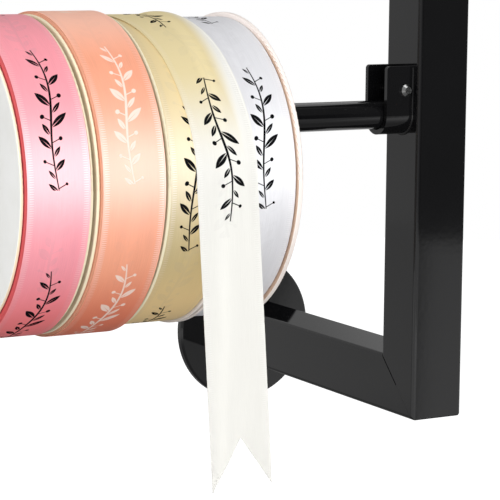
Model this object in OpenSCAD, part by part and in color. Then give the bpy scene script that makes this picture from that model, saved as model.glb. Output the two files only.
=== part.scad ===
// Wall ribbon rack. Two side frames of square tube stand out from the wall on round wall plates.
// Open cradles on the uprights carry round rods, and four spools of ribbon hang on the lowest rod.
// Millimetres, +Z up. The wall is the plane y = 0 and the front of the rack faces -Y.
// The origin is on the wall, at the centre of the right lower wall plate.

/* [Side frames] */
// Side of the square tube
tube = 25; // [22:1:32]
// Wall of the square tube
tube_wall = 1.5; // [1:0.25:2.5]
// Outer corner radius of the square tube
tube_corner = 1.75; // [1.5:0.25:4]
// Distance from the wall to the front face of the uprights
rack_depth = 172; // [140:1:220]
// Height over both arms
rack_h = 500; // [470:5:700]
// Clear width between the two uprights
bay_w = 450; // [300:5:700]
// Saw gap that is left open along each mitre
mitre_gap = 0.8; // [0.1:0.05:1]

/* [Wall plates] */
// Diameter of a wall plate
plate_d = 71; // [68:1:100]
// Thickness of a wall plate
plate_t = 4; // [3:0.5:6]
// Bevel of the front edge of a wall plate
plate_bevel = 1; // [0.5:0.25:2]
// Distance between the two screw holes of a wall plate
plate_hole_gap = 52; // [50:1:54]
// Diameter of a screw hole
plate_hole_d = 5.5; // [4:0.25:6.5]
// Diameter of the countersink of a screw hole
plate_sink_d = 10; // [8:0.5:11]

/* [Rods] */
// Diameter of a rod
rod_d = 12; // [9:0.5:14]
// Wall of a rod
rod_wall = 1.2; // [0.8:0.1:2]
// Height of the lowest rod above the axis of the lower arms
rod_rise = 117.5; // [110:0.5:135]
// Height from the top rod to the axis of the upper arms
top_drop = 67.5; // [60:0.5:90]
// Gap between the end of a rod and the upright
rod_end_gap = 0.5; // [0.3:0.1:2]
// Thickness of the visible cap of a rod plug
plug_cap = 1.5; // [1:0.25:3]
// Length of the stem of a rod plug
plug_stem = 9; // [5:0.5:15]
// Gap between a plug stem and the rod
plug_fit = 0.05; // [0.02:0.01:0.2]

/* [Cradles] */
// Length of a cradle along the rod
cradle_len = 13; // [11:0.5:20]
// Sheet thickness of a cradle
cradle_sheet = 2; // [1.5:0.1:3]
// Gap between a rod and its cradle
cradle_gap = 0.4; // [0.3:0.05:0.8]
// Height of the cradle legs above the top of the rod
cradle_leg = 14.5; // [12:0.5:22]
// Corner radius of the cradle legs
cradle_corner = 1.5; // [0.5:0.25:3]

/* [Keeper screws] */
// Diameter of a keeper screw
screw_d = 3; // [2.5:0.5:5]
// Gap between the top of the rod and the screw
screw_gap = 3; // [1:0.25:5]
// Distance of the screw from the upright
screw_in = 3.8; // [3.6:0.1:6]
// Gap around the screw in the cradle legs
screw_fit = 0.1; // [0.05:0.05:0.4]
// Diameter of the screw head
head_d = 5.25; // [4.5:0.25:6.5]
// Height of the screw head
head_h = 2.2; // [1.6:0.2:4]
// Width and depth of the cross recess in the head
recess = 0.8; // [0.5:0.1:1.2]
// Width of the nut across its flats
nut_flats = 5.5; // [5:0.5:6]
// Height of the nut
nut_h = 2.4; // [2:0.2:4]
// Length of screw that stands out of the nut
screw_proud = 0.8; // [0.2:0.2:2]

/* [Ribbon spools] */
// Width of the ribbon
ribbon_w = 25.4; // [20:0.1:30]
// Thickness of one layer of ribbon
ribbon_t = 0.5; // [0.4:0.05:0.8]
// Diameter of a spool flange
spool_d = 123; // [110:1:128]
// How much smaller the pink spool's left flange is across
pink_less = 5; // [0:0.5:18]
// Rise of the pink spool's right flange above its left one
pink_rise = 1.7; // [0:0.1:2.6]
// Thickness of a spool flange
flange_t = 1.3; // [1.2:0.1:2.5]
// Thickness added outside the white spool's right flange, the end of the row
end_rim = 0.9; // [0:0.1:1.5]
// Rounding of the rim of a spool flange
flange_round = 0.6; // [0.2:0.1:0.6]
// Height of the pink winding above its flanges
pink_fill = 2.8; // [0.5:0.1:4]
// Height of the peach winding above its flanges
peach_fill = 1.4; // [0.5:0.1:3]
// Depth of the cream winding below its flanges
cream_lip = 0.7; // [0.2:0.1:3]
// Depth of the white winding below its flanges
white_lip = 1.5; // [0.5:0.1:3]
// Diameter of the hole through a spool
spool_hole_d = 48.6; // [40:0.2:56]
// Wall of the spool core
core_wall = 2.2; // [1.5:0.1:4]
// Gap between the rod and the top of the spool hole
hang_gap = 0.3; // [0.2:0.05:0.5]
// Gap between neighbouring spools
spool_gap = 0.95; // [0.3:0.05:1.5]
// Gap between a winding and its flanges
side_gap = 0.3; // [0.2:0.05:0.6]
// Gap between a winding and its core
wind_gap = 0.1; // [0.05:0.05:0.3]
// Distance from the right upright to the nearest spool
spool_offset = 85.3; // [60:0.1:120]

/* [Ribbon tail] */
// Length of ribbon that hangs free below the axis of its spool
tail_len = 117; // [60:1:160]
// Height of the tail's upper end above the axis of its spool
tail_rise = 6; // [2:0.5:12]
// Shift of the tail towards the neighbouring spool, at the axis of its spool
tail_shift = 10.8; // [4:0.2:14]
// Lean of the hanging tail
tail_lean = 3.6; // [0:0.1:6]
// Depth of the swallow-tail cut
tail_notch = 20; // [8:0.5:26]
// Gap between the tail and the spool flanges
tail_gap = 0.4; // [0.3:0.05:1]

/* [Hidden] */
$fn = 64;

paint = "black";
bright_steel = "silver";
ivory = "ivory";
pale_card = "seashell";

// Side frames
left_x = -(bay_w + tube);
upright_y = -rack_depth + tube / 2;
upper_z = rack_h - tube;
tube_inner = tube - 2 * tube_wall;
inner_corner = max(0.3, tube_corner - tube_wall);
sides = [0, 1];

// Rods and cradles
tiers = [0, 1, 2];
tier_pitch = (rack_h - tube - top_drop - rod_rise) / (len(tiers) - 1);
rod_r = rod_d / 2;
rod_len = bay_w - 2 * (rod_end_gap + plug_cap);
rod_mid_x = left_x / 2;
cradle_in = rod_r + cradle_gap;
cradle_out = cradle_in + cradle_sheet;
cradle_top = rod_r + cradle_leg;
screw_rise = rod_r + screw_gap + screw_d / 2;
nut_corners = nut_flats / cos(30);

// Spools, counted from the right upright
hole_r = spool_hole_d / 2;
core_r = hole_r + core_wall;
winding_w = ribbon_w - 2 * side_gap;
spool_w = ribbon_w + 2 * flange_t;
spool_z = rod_rise + rod_r + hang_gap - hole_r;
first_spool_x = -tube / 2 - spool_offset;
order = ["white", "cream", "peach", "pink"];
fills = [-white_lip, -cream_lip, peach_fill, pink_fill];
pink_spool_d = spool_d - pink_less;
flange_ds = [spool_d, spool_d, spool_d, pink_spool_d];
widest_r = spool_d / 2;

// Lap of the outermost layer: start of the loose end, and the thin end that it covers
lap_steps = 72;
lap_thin = 0.3;
lap_top = 68;
lap_back = -30;

// Cutting bodies reach this far past what they cut
past = 1;
far = 2 * tube;

function rod_z(tier) = rod_rise + tier * tier_pitch;
function place(name) = search([name], order)[0];
function spool_right_x(name) = first_spool_x - place(name) * (spool_w + spool_gap);
function flange_r(name) = flange_ds[place(name)] / 2;
function wind_r(name) = flange_r(name) + fills[place(name)];

// Places a child of the right side frame on the right or, mirrored, on the left
module on_side(side) {
    translate([side * left_x, 0, 0]) mirror([side, 0, 0]) children();
}

module rounded_square(side, corner) {
    straight = side - 2 * corner;
    square([side, straight], center = true);
    square([straight, side], center = true);
    for (sx = [-1, 1], sy = [-1, 1])
        translate([sx * straight / 2, sy * straight / 2]) circle(r = corner);
}

module tube_section() {
    difference() {
        rounded_square(tube, tube_corner);
        rounded_square(tube_inner, inner_corner);
    }
}

// Space behind and above the mitre plane of the lower front corner, where the upright stands
module mitre_keep_upright() {
    half_gap = mitre_gap / 2;
    translate([-far / 2, 0, 0]) rotate([90, 0, 90]) linear_extrude(far)
        polygon([[-tube, -tube + half_gap], [tube, tube + half_gap], [tube, rack_h], [-tube, rack_h]]);
}

// Space below and behind the mitre plane of the lower front corner, where the arm runs
module mitre_keep_arm() {
    half_gap = mitre_gap / 2;
    translate([-far / 2, 0, 0]) rotate([90, 0, 90]) linear_extrude(far)
        polygon([[-tube, -tube - half_gap], [tube, tube - half_gap],
                 [rack_depth, tube - half_gap], [rack_depth, -tube - half_gap]]);
}

// An upright with a mitred end at the axis of each arm
module upright() {
    translate([0, upright_y, 0]) intersection() {
        translate([0, 0, -tube / 2]) linear_extrude(rack_h) tube_section();
        mitre_keep_upright();
        translate([0, 0, upper_z]) mirror([0, 0, 1]) mitre_keep_upright();
    }
}

// A lower arm, mitred at the front and square at its wall plate
module arm() {
    translate([0, upright_y, 0]) intersection() {
        translate([0, -tube / 2, 0]) rotate([-90, 0, 0])
            linear_extrude(rack_depth - plate_t) tube_section();
        mitre_keep_arm();
    }
}

module upper_arm() {
    translate([0, 0, upper_z]) mirror([0, 0, 1]) arm();
}

// A round wall plate with a bevelled rim and two countersunk holes, one over the other
module wall_plate() {
    plate_r = plate_d / 2;
    sink = (plate_sink_d - plate_hole_d) / 2;
    rotate([90, 0, 0]) difference() {
        union() {
            cylinder(r = plate_r, h = plate_t - plate_bevel);
            translate([0, 0, plate_t - plate_bevel])
                cylinder(r1 = plate_r, r2 = plate_r - plate_bevel, h = plate_bevel);
        }
        for (way = [-1, 1]) translate([0, way * plate_hole_gap / 2, 0]) {
            translate([0, 0, -past]) cylinder(d = plate_hole_d, h = plate_t + 2 * past);
            translate([0, 0, plate_t - sink]) cylinder(d1 = plate_hole_d, d2 = plate_sink_d, h = sink);
            translate([0, 0, plate_t]) cylinder(d = plate_sink_d, h = past);
        }
    }
}

// Outline of a cradle seen along the rod: a half round with two straight legs
module cradle_outline() {
    difference() {
        union() {
            circle(r = cradle_out);
            translate([-cradle_out, 0]) square([2 * cradle_out, cradle_top]);
        }
        circle(r = cradle_in);
        translate([-cradle_in, 0]) square([2 * cradle_in, cradle_top + past]);
    }
}

// Side view of the legs: the free upper corner is rounded
module cradle_side() {
    difference() {
        translate([-cradle_len, -cradle_out]) square([cradle_len, cradle_out + cradle_top]);
        translate([-cradle_len, cradle_top]) difference() {
            square(2 * cradle_corner, center = true);
            translate([cradle_corner, -cradle_corner]) circle(r = cradle_corner);
        }
    }
}

// A bent sheet cradle on the inner face of the right upright, open at the top
module cradle(side, tier) {
    on_side(side) translate([-tube / 2, upright_y, rod_z(tier)]) difference() {
        intersection() {
            translate([-cradle_len, 0, 0]) rotate([90, 0, 90]) linear_extrude(cradle_len) cradle_outline();
            translate([0, cradle_out + past, 0]) rotate([90, 0, 0])
                linear_extrude(2 * (cradle_out + past)) cradle_side();
        }
        translate([-screw_in, 0, screw_rise]) rotate([90, 0, 0])
            cylinder(d = screw_d + 2 * screw_fit, h = 2 * (cradle_out + past), center = true);
    }
}

// Places a child at the keeper screw of every cradle
module at_keepers() {
    for (side = sides, tier = tiers)
        on_side(side) translate([-tube / 2 - screw_in, upright_y, rod_z(tier) + screw_rise]) children();
}

// A pan-head screw that closes the mouth of a cradle above the rod
module keeper_screw() {
    shank = 2 * cradle_out + nut_h + screw_proud;
    rim = head_h / 2;
    translate([0, -cradle_out, 0]) rotate([90, 0, 0]) difference() {
        union() {
            translate([0, 0, -shank]) cylinder(d = screw_d, h = shank + rim);
            cylinder(d = head_d, h = rim);
            translate([0, 0, rim]) cylinder(d1 = head_d, d2 = head_d - head_h, h = head_h - rim);
        }
        for (turn = [0, 90]) rotate(turn) translate([0, 0, head_h])
            cube([head_d - head_h, recess, 2 * recess], center = true);
    }
}

module keeper_nut() {
    translate([0, cradle_out, 0]) rotate([-90, 0, 0]) difference() {
        cylinder(d = nut_corners, h = nut_h, $fn = 6);
        translate([0, 0, -past]) cylinder(d = screw_d + 2 * screw_fit, h = nut_h + 2 * past);
    }
}

module rod(tier) {
    translate([rod_mid_x, upright_y, rod_z(tier)]) rotate([0, 90, 0]) difference() {
        cylinder(r = rod_r, h = rod_len, center = true);
        cylinder(r = rod_r - rod_wall, h = rod_len + 2 * past, center = true);
    }
}

// The two plugs that close the ends of a rod
module rod_plugs(tier) {
    for (way = [-1, 1]) translate([rod_mid_x + way * rod_len / 2, upright_y, rod_z(tier)])
        rotate([0, way * 90, 0]) {
            cylinder(r = rod_r, h = plug_cap);
            translate([0, 0, -plug_stem]) cylinder(r = rod_r - rod_wall - plug_fit, h = plug_stem + plug_cap / 2);
        }
}

// Moves a child from the spool's own axis to its place on the lowest rod
module at_spool(name) {
    translate([spool_right_x(name), upright_y, spool_z]) rotate([0, -90, 0]) children();
}

// The tube of a spool, which sits between its flanges
module spool_core(name) {
    at_spool(name) translate([0, 0, flange_t]) difference() {
        cylinder(r = core_r, h = ribbon_w);
        translate([0, 0, -past]) cylinder(r = hole_r, h = ribbon_w + 2 * past);
    }
}

// A flat ring with a rounded rim
module spool_flange(name, from_right, rim_r, thick) {
    round_off = min(flange_round, thick / 3);
    at_spool(name) translate([0, 0, from_right]) rotate_extrude($fn = 96) {
        translate([hole_r, 0]) square([rim_r - round_off - hole_r, thick]);
        translate([rim_r - 2 * round_off, round_off]) square([2 * round_off, thick - 2 * round_off]);
        for (edge = [round_off, thick - round_off])
            translate([rim_r - round_off, edge]) circle(r = round_off, $fn = 24);
    }
}

module left_flange(name) {
    spool_flange(name, spool_w - flange_t, flange_r(name), flange_t);
}

module right_flange(name, rise = 0, outside = 0) {
    spool_flange(name, -outside, flange_r(name) + rise, flange_t + outside);
}

// One turn of ribbon that grows from its covered end to full thickness at its loose end
module outer_layer(base_r, loose_end) {
    polygon([for (i = [0 : lap_steps])
        let (turn = i / lap_steps, r = base_r + ribbon_t * (lap_thin + (1 - lap_thin) * turn),
             a = loose_end - 360 * (1 - turn))
        [r * cos(a), r * sin(a)]]);
}

// The wound ribbon: a plain body with the outermost turn laid round it
module winding(name, loose_end) {
    base_r = wind_r(name) - ribbon_t;
    translate([spool_right_x(name) - flange_t - side_gap - winding_w, upright_y, spool_z])
        rotate([90, 0, 90]) linear_extrude(winding_w) difference() {
            union() {
                circle(r = base_r, $fn = 96);
                outer_layer(base_r, loose_end);
            }
            circle(r = core_r + wind_gap);
        }
}

// The loose end of the ribbon, which hangs in front of its spool and ends in a swallow-tail cut
module hanging_tail() {
    half = ribbon_w / 2;
    mid_x = spool_right_x("cream") - spool_w / 2 + tail_shift;
    front_y = upright_y - widest_r - tail_gap - ribbon_t;
    translate([mid_x, front_y, spool_z]) rotate([0, -tail_lean, 0]) translate([0, ribbon_t, 0])
        rotate([90, 0, 0]) linear_extrude(ribbon_t)
            polygon([[-half, tail_rise], [-half, -tail_len], [0, -tail_len + tail_notch],
                     [half, -tail_len], [half, tail_rise]]);
}

module right_upright() { color(paint) upright(); }
module left_upright() { color(paint) on_side(1) upright(); }
module right_lower_arm() { color(paint) arm(); }
module left_lower_arm() { color(paint) on_side(1) arm(); }
module right_upper_arm() { color(paint) upper_arm(); }
module left_upper_arm() { color(paint) on_side(1) upper_arm(); }
module right_lower_plate() { color(paint) wall_plate(); }
module left_lower_plate() { color(paint) on_side(1) wall_plate(); }
module right_upper_plate() { color(paint) translate([0, 0, upper_z]) wall_plate(); }
module left_upper_plate() { color(paint) on_side(1) translate([0, 0, upper_z]) wall_plate(); }
module right_low_cradle() { color(paint) cradle(0, 0); }
module right_mid_cradle() { color(paint) cradle(0, 1); }
module right_top_cradle() { color(paint) cradle(0, 2); }
module left_low_cradle() { color(paint) cradle(1, 0); }
module left_mid_cradle() { color(paint) cradle(1, 1); }
module left_top_cradle() { color(paint) cradle(1, 2); }
module keeper_screws() { color(bright_steel) at_keepers() keeper_screw(); }
module keeper_nuts() { color(bright_steel) at_keepers() keeper_nut(); }
module low_rod() { color(paint) rod(0); }
module mid_rod() { color(paint) rod(1); }
module top_rod() { color(paint) rod(2); }
module low_rod_plugs() { color(paint) rod_plugs(0); }
module mid_rod_plugs() { color(paint) rod_plugs(1); }
module top_rod_plugs() { color(paint) rod_plugs(2); }
module pink_core() { color(ivory) spool_core("pink"); }
module pink_left_flange() { color(ivory) left_flange("pink"); }
module pink_right_flange() { color(ivory) right_flange("pink", rise = pink_rise); }
module pink_winding() { color("hotpink") winding("pink", lap_back); }
module peach_core() { color(ivory) spool_core("peach"); }
module peach_left_flange() { color(ivory) left_flange("peach"); }
module peach_right_flange() { color(ivory) right_flange("peach"); }
module peach_winding() { color("lightsalmon") winding("peach", lap_back); }
module cream_core() { color(pale_card) spool_core("cream"); }
module cream_left_flange() { color(pale_card) left_flange("cream"); }
module cream_right_flange() { color(pale_card) right_flange("cream"); }
module cream_winding() { color("palegoldenrod") winding("cream", lap_top); }
module white_core() { color(pale_card) spool_core("white"); }
module white_left_flange() { color(pale_card) left_flange("white"); }
module white_right_flange() { color(pale_card) right_flange("white", outside = end_rim); }
module white_winding() { color("ghostwhite") winding("white", lap_back); }
module ribbon_tail() { color("floralwhite") hanging_tail(); }

right_upright();
right_lower_arm();
right_upper_arm();
left_upright();
left_lower_arm();
left_upper_arm();
right_lower_plate();
right_upper_plate();
left_lower_plate();
left_upper_plate();
right_low_cradle();
right_mid_cradle();
right_top_cradle();
left_low_cradle();
left_mid_cradle();
left_top_cradle();
keeper_screws();
keeper_nuts();
low_rod();
mid_rod();
top_rod();
low_rod_plugs();
mid_rod_plugs();
top_rod_plugs();
pink_core();
pink_left_flange();
pink_right_flange();
pink_winding();
peach_core();
peach_left_flange();
peach_right_flange();
peach_winding();
cream_core();
cream_left_flange();
cream_right_flange();
cream_winding();
white_core();
white_left_flange();
white_right_flange();
white_winding();
ribbon_tail();
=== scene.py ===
"""Wall ribbon rack: finishes, wound ribbons with a loose end, and a plain stage."""

import math

import bmesh
import bpy
from mathutils import Matrix, Vector


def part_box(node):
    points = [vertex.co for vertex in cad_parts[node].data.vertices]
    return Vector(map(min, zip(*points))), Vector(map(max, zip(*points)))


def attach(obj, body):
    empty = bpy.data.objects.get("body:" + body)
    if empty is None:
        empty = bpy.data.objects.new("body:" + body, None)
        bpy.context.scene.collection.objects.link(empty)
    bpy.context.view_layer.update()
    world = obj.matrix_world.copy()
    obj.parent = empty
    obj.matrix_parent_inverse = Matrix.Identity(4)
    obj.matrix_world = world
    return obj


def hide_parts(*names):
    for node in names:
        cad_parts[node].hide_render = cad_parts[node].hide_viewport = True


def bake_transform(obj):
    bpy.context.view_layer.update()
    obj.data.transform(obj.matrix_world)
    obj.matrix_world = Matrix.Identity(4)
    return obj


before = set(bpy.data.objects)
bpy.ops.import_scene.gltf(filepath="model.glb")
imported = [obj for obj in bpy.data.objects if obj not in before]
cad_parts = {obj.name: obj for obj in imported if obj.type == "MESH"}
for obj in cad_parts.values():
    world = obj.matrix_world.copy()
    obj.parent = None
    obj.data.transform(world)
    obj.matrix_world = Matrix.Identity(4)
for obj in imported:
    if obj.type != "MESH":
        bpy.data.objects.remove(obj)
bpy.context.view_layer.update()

bl_info = {
    "name": "Wall Ribbon Rack",
    "version": (1, 0, 0),
    "blender": (4, 5, 0),
    "location": "View3D > Sidebar > Ribbon Rack",
    "description": "Finishes a wall rack with rods, spools of printed ribbon and a hanging end",
    "category": "Object",
}

MM = 0.001
INCH = 0.0254
FULL_TURN = 2 * math.pi
COLOURS = ("pink", "peach", "cream", "white")
FASTENERS = ("keeper_screws", "keeper_nuts")


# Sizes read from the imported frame


def middle(node):
    """Centre of a frame node's box."""
    low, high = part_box(node)
    return (low + high) / 2


def reach(node):
    """Size of a frame node's box."""
    low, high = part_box(node)
    return high - low


def nodes_ending(*endings):
    """Names of the frame nodes with one of the endings."""
    return [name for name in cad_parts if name.endswith(endings)]


AXIS = middle("cream_core")
FLANGE_R = reach("cream_left_flange").z / 2
CORE_R = reach("cream_core").z / 2
TUBE = reach("right_upright").x


def wound_radius(colour):
    """Largest radius of a winding about the spools' axis."""
    low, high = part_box(colour + "_winding")
    return max(high.y - AXIS.y, AXIS.y - low.y, high.z - AXIS.z, AXIS.z - low.z)


def ribbon_span(colour):
    """Left and right edge of the ribbon between the two flanges of a spool."""
    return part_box(colour + "_left_flange")[1].x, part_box(colour + "_right_flange")[0].x


# Node helpers


class Wire:
    """An output of a node, which adds, multiplies and so on as a number does."""

    def __init__(self, wiring, socket):
        self.wiring = wiring
        self.socket = socket

    def __add__(self, other):
        return self.wiring.math("ADD", self, other)

    def __sub__(self, other):
        return self.wiring.math("SUBTRACT", self, other)

    def __rsub__(self, other):
        return self.wiring.math("SUBTRACT", other, self)

    def __mul__(self, other):
        return self.wiring.math("MULTIPLY", self, other)

    def __truediv__(self, other):
        return self.wiring.math("DIVIDE", self, other)

    def __mod__(self, other):
        return self.wiring.math("FLOORED_MODULO", self, other)

    def __abs__(self):
        return self.wiring.math("ABSOLUTE", self)


def opaque(colour):
    """A colour as a socket takes it."""
    return colour if isinstance(colour, Wire) else (*colour, 1)


def tinted(colour, share):
    """A colour made darker or lighter."""
    return tuple(share * part for part in colour)


class Wiring:
    """Adds nodes to one node tree and links them."""

    def __init__(self, tree):
        self.tree = tree

    def add(self, kind, **settings):
        node = self.tree.nodes.new(kind)
        for key, value in settings.items():
            setattr(node, key, value)
        return node

    def feed(self, socket, value):
        """Links a wire to a socket, or sets the socket to a constant."""
        if isinstance(value, Wire):
            self.tree.links.new(value.socket, socket)
        else:
            socket.default_value = value

    def set(self, sockets, **values):
        """Feeds sockets by their names, with _ for a space."""
        for name, value in values.items():
            self.feed(sockets[name.replace("_", " ")], value)

    def read(self, kind, name):
        """One output of a node that needs no input."""
        return Wire(self, self.add(kind).outputs[name])

    def spot(self):
        """The place on the object."""
        return self.read("ShaderNodeTexCoord", "Object")

    def result(self, node, values, output=0):
        """Feeds a node by the names or numbers of its inputs, and gives one of its outputs."""
        for key, value in values.items():
            self.feed(node.inputs[key], value)
        return Wire(self, node.outputs[output])

    def math(self, operation, *values, clamp=False):
        node = self.add("ShaderNodeMath", operation=operation, use_clamp=clamp)
        return self.result(node, dict(enumerate(values)))

    def ramp(self, value, low, high, start=0.0, end=1.0):
        """Goes smoothly from start to end while a value goes from low to high."""
        node = self.add("ShaderNodeMapRange", interpolation_type="SMOOTHSTEP")
        names = ("Value", "From Min", "From Max", "To Min", "To Max")
        return self.result(node, dict(zip(names, (value, low, high, start, end))))

    def mix(self, factor, first, second):
        """Goes from a first colour to a second one."""
        node = self.add("ShaderNodeMix", data_type="RGBA", blend_type="MIX")
        # Inputs 6 and 7 and output 2 are the node's colours
        return self.result(node, {0: factor, 6: opaque(first), 7: opaque(second)}, 2)

    def split(self, vector):
        node = self.add("ShaderNodeSeparateXYZ")
        self.feed(node.inputs[0], vector)
        return [Wire(self, socket) for socket in node.outputs]

    def line(self, x):
        """A vector along X."""
        return self.result(self.add("ShaderNodeCombineXYZ"), {0: x})

    def noise(self, vector, scale, detail, roughness):
        values = {"Vector": vector, "Scale": scale, "Detail": detail, "Roughness": roughness}
        return self.result(self.add("ShaderNodeTexNoise"), values)

    def stretch(self, vector, scale, location=(0, 0, 0)):
        values = {"Vector": vector, "Scale": scale, "Location": location}
        return self.result(self.add("ShaderNodeMapping"), values)

    def bump(self, height, distance):
        values = {"Height": height, "Distance": distance, "Strength": 1.0}
        return self.result(self.add("ShaderNodeBump"), values)

    def group(self, tree, **values):
        """A shared node group: its outputs by name."""
        node = self.add("ShaderNodeGroup", node_tree=tree)
        self.set(node.inputs, **values)
        return {socket.name: Wire(self, socket) for socket in node.outputs}


def new_group(name, inputs, outputs):
    """An empty shader node group: its wiring, its inputs by name, and its output node's sockets."""
    tree = bpy.data.node_groups.new(name, "ShaderNodeTree")
    for label in inputs:
        kind = "NodeSocketVector" if label in ("UV", "Position") else "NodeSocketFloat"
        tree.interface.new_socket(label, in_out="INPUT", socket_type=kind)
    for label in outputs:
        tree.interface.new_socket(label, in_out="OUTPUT", socket_type="NodeSocketFloat")
    wiring = Wiring(tree)
    source = {socket.name: Wire(wiring, socket) for socket in wiring.add("NodeGroupInput").outputs}
    return wiring, source, wiring.add("NodeGroupOutput").inputs


def new_material(name):
    """A material with one Principled shader: the material, its wiring and its shader's inputs."""
    material = bpy.data.materials.new(name)
    material.use_nodes = True
    material.node_tree.nodes.clear()
    wiring = Wiring(material.node_tree)
    shader = wiring.add("ShaderNodeBsdfPrincipled")
    output = wiring.add("ShaderNodeOutputMaterial")
    wiring.feed(output.inputs["Surface"], Wire(wiring, shader.outputs[0]))
    return material, wiring, shader.inputs


# Node groups; lengths on a ribbon are in millimetres

PEEL_PITCH = 2.2 * MM
TICK_PITCH = 0.86
WEFT_PITCH = 0.43
SPRAY_PITCH = 8.2
STEM_WAVE = 1.7
STEM_HALF = 0.5
STALK_HALF = 0.2


def paint_skin_group():
    """Sprayed paint: soft orange peel, a slow tone and a little dust on upward faces."""
    wiring, source, sink = new_group("Paint skin", ("Position",), ("Height", "Tone", "Dust"))
    spot = source["Position"]
    speck = wiring.noise(spot, 900.0, 1.0, 0.4)
    upward = wiring.split(wiring.read("ShaderNodeNewGeometry", "Normal"))[2]
    wiring.set(
        sink,
        Height=wiring.noise(spot, 1.0 / PEEL_PITCH, 1.5, 0.45),
        Tone=wiring.noise(spot, 34.0, 3.0, 0.55),
        Dust=wiring.ramp(speck, 0.66, 0.74) * wiring.ramp(upward, 0.3, 0.9),
    )
    return wiring.tree


def satin_group():
    """Satin weave: warp streaks along the ribbon, weft bars, and a selvedge with ticks."""
    outputs = ("Streak", "Selvedge", "Tick", "Slot", "Height")
    wiring, source, sink = new_group("Satin weave", ("UV", "Width"), outputs)
    u, v, _ = wiring.split(source["UV"])
    along = v * source["Width"]
    from_edge = (0.5 - abs(u - 0.5)) * source["Width"]
    fine = wiring.noise(wiring.stretch(source["UV"], (170.0, 2.2, 1.0)), 1.0, 3.0, 0.6)
    broad = wiring.noise(wiring.stretch(source["UV"], (3.0, 0.35, 1.0)), 1.0, 2.0, 0.5)
    weft = wiring.math("SINE", along * (FULL_TURN / WEFT_PITCH))
    wave = wiring.math("SINE", along * (FULL_TURN / TICK_PITCH))
    band = wiring.ramp(from_edge, 0.7, 1.0) * wiring.ramp(from_edge, 2.9, 2.3)
    slot = wiring.ramp(wave, 0.0, -0.7) * band
    cord = wiring.ramp(from_edge, 0.75, 0.35)
    wiring.set(
        sink,
        Streak=fine * 0.6 + broad * 0.4,
        Selvedge=wiring.ramp(from_edge, 2.6, 0.6),
        Tick=wiring.ramp(wave, 0.0, 0.7) * band,
        Slot=slot,
        Height=fine * 0.5 + weft * 0.04 + slot * -0.8 + cord * 1.2,
    )
    return wiring.tree


def sprig_group():
    """A printed sprig: a waving stem with paired leaves and berries, repeated along the ribbon."""
    inputs = ("UV", "Width", "Repeat", "Length", "Start", "Centre", "Weight")
    wiring, source, sink = new_group("Sprig print", inputs, ("Ink",))
    weight = source["Weight"]
    half = source["Length"] * 0.5
    u, v, _ = wiring.split(source["UV"])
    along = (v * source["Width"] - source["Start"]) % source["Repeat"] - half
    across = (u - source["Centre"]) * source["Width"]
    off_stem = across - wiring.math("SINE", along / half * math.pi) * STEM_WAVE
    taper = 1.0 - abs(along) / half * 0.55
    step = wiring.math("FLOOR", along / SPRAY_PITCH)
    local = along - step * SPRAY_PITCH - SPRAY_PITCH / 2
    side = step % 2.0 * 2.0 - 1.0
    size = 1.0 - abs(step + 0.5) / (half / SPRAY_PITCH) * 0.42

    def within(distance, blur=0.1):
        """1 where a distance is below zero, with a soft edge."""
        return wiring.ramp(distance, blur, -blur)

    def leaf(shift_along, shift_across, tilt, length, breadth, flip):
        """A pointed leaf beside the stem, with a pale vein."""
        a = local - shift_along
        b = off_stem * (side * flip) - size * shift_across
        c, s = math.cos(tilt), math.sin(tilt)
        share = (a * c + b * s) / (size * length)
        off_vein = abs(b * c - a * s)
        room = (1.0 - share * share) * (size * breadth) * weight
        vein = within(off_vein - (0.35 - share) * 0.16, 0.06)
        return wiring.math("SUBTRACT", within(off_vein - room), vein * 0.75, clamp=True)

    def berry(shift_along, shift_across, radius):
        """A round berry with its stalk."""
        a = local - shift_along
        b = off_stem * (side * -1.0) - shift_across
        far = wiring.math("SQRT", a * a + b * b)
        reaching = within(b) * wiring.ramp(b, -shift_across, 0.1 - shift_across)
        stalk = within(abs(a - b * 0.45) - STALK_HALF) * reaching
        return wiring.math("MAXIMUM", within(far - size * radius), stalk)

    ink = within(abs(off_stem) - taper * STEM_HALF * weight, 0.12)
    for shape in (
        leaf(1.2, 3.3, 0.82, 4.3, 1.45, 1.0),
        leaf(-2.2, 2.2, 0.62, 2.9, 0.95, -1.0),
        berry(2.6, 3.6, 0.95),
    ):
        ink = wiring.math("MAXIMUM", ink, shape)
    wiring.set(sink, Ink=ink * wiring.ramp(abs(along), half, half - 0.3))
    return wiring.tree


def layer_edge_group():
    """Stacked edges of wound ribbon: fine rings about the axis, uneven from turn to turn."""
    wiring, source, sink = new_group("Layer edges", ("Position", "Pitch"), ("Ring", "Shade"))
    _, y, z = wiring.split(source["Position"])
    turns = wiring.math("SQRT", y * y + z * z) / source["Pitch"]
    uneven = wiring.noise(wiring.line(turns * 0.9), 1.0, 2.0, 0.6)
    wiring.set(sink, Ring=wiring.math("SINE", turns * FULL_TURN) * 0.5 + uneven, Shade=uneven)
    return wiring.tree


GROUPS = {}


def shared(make):
    """A shared node group, built the first time that it is asked for."""
    if make not in GROUPS:
        GROUPS[make] = make()
    return GROUPS[make]


# Materials

DUST = (0.5, 0.49, 0.47)
STEEL_DARK, STEEL_LIGHT = (0.23, 0.235, 0.24), (0.42, 0.42, 0.415)
GHOST_INK = (0.25, 0.24, 0.26)
GHOST_WEIGHT = 1.35
LAYER_PITCH = 0.5 * MM
BACKED_EDGE = 7 * MM


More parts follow.
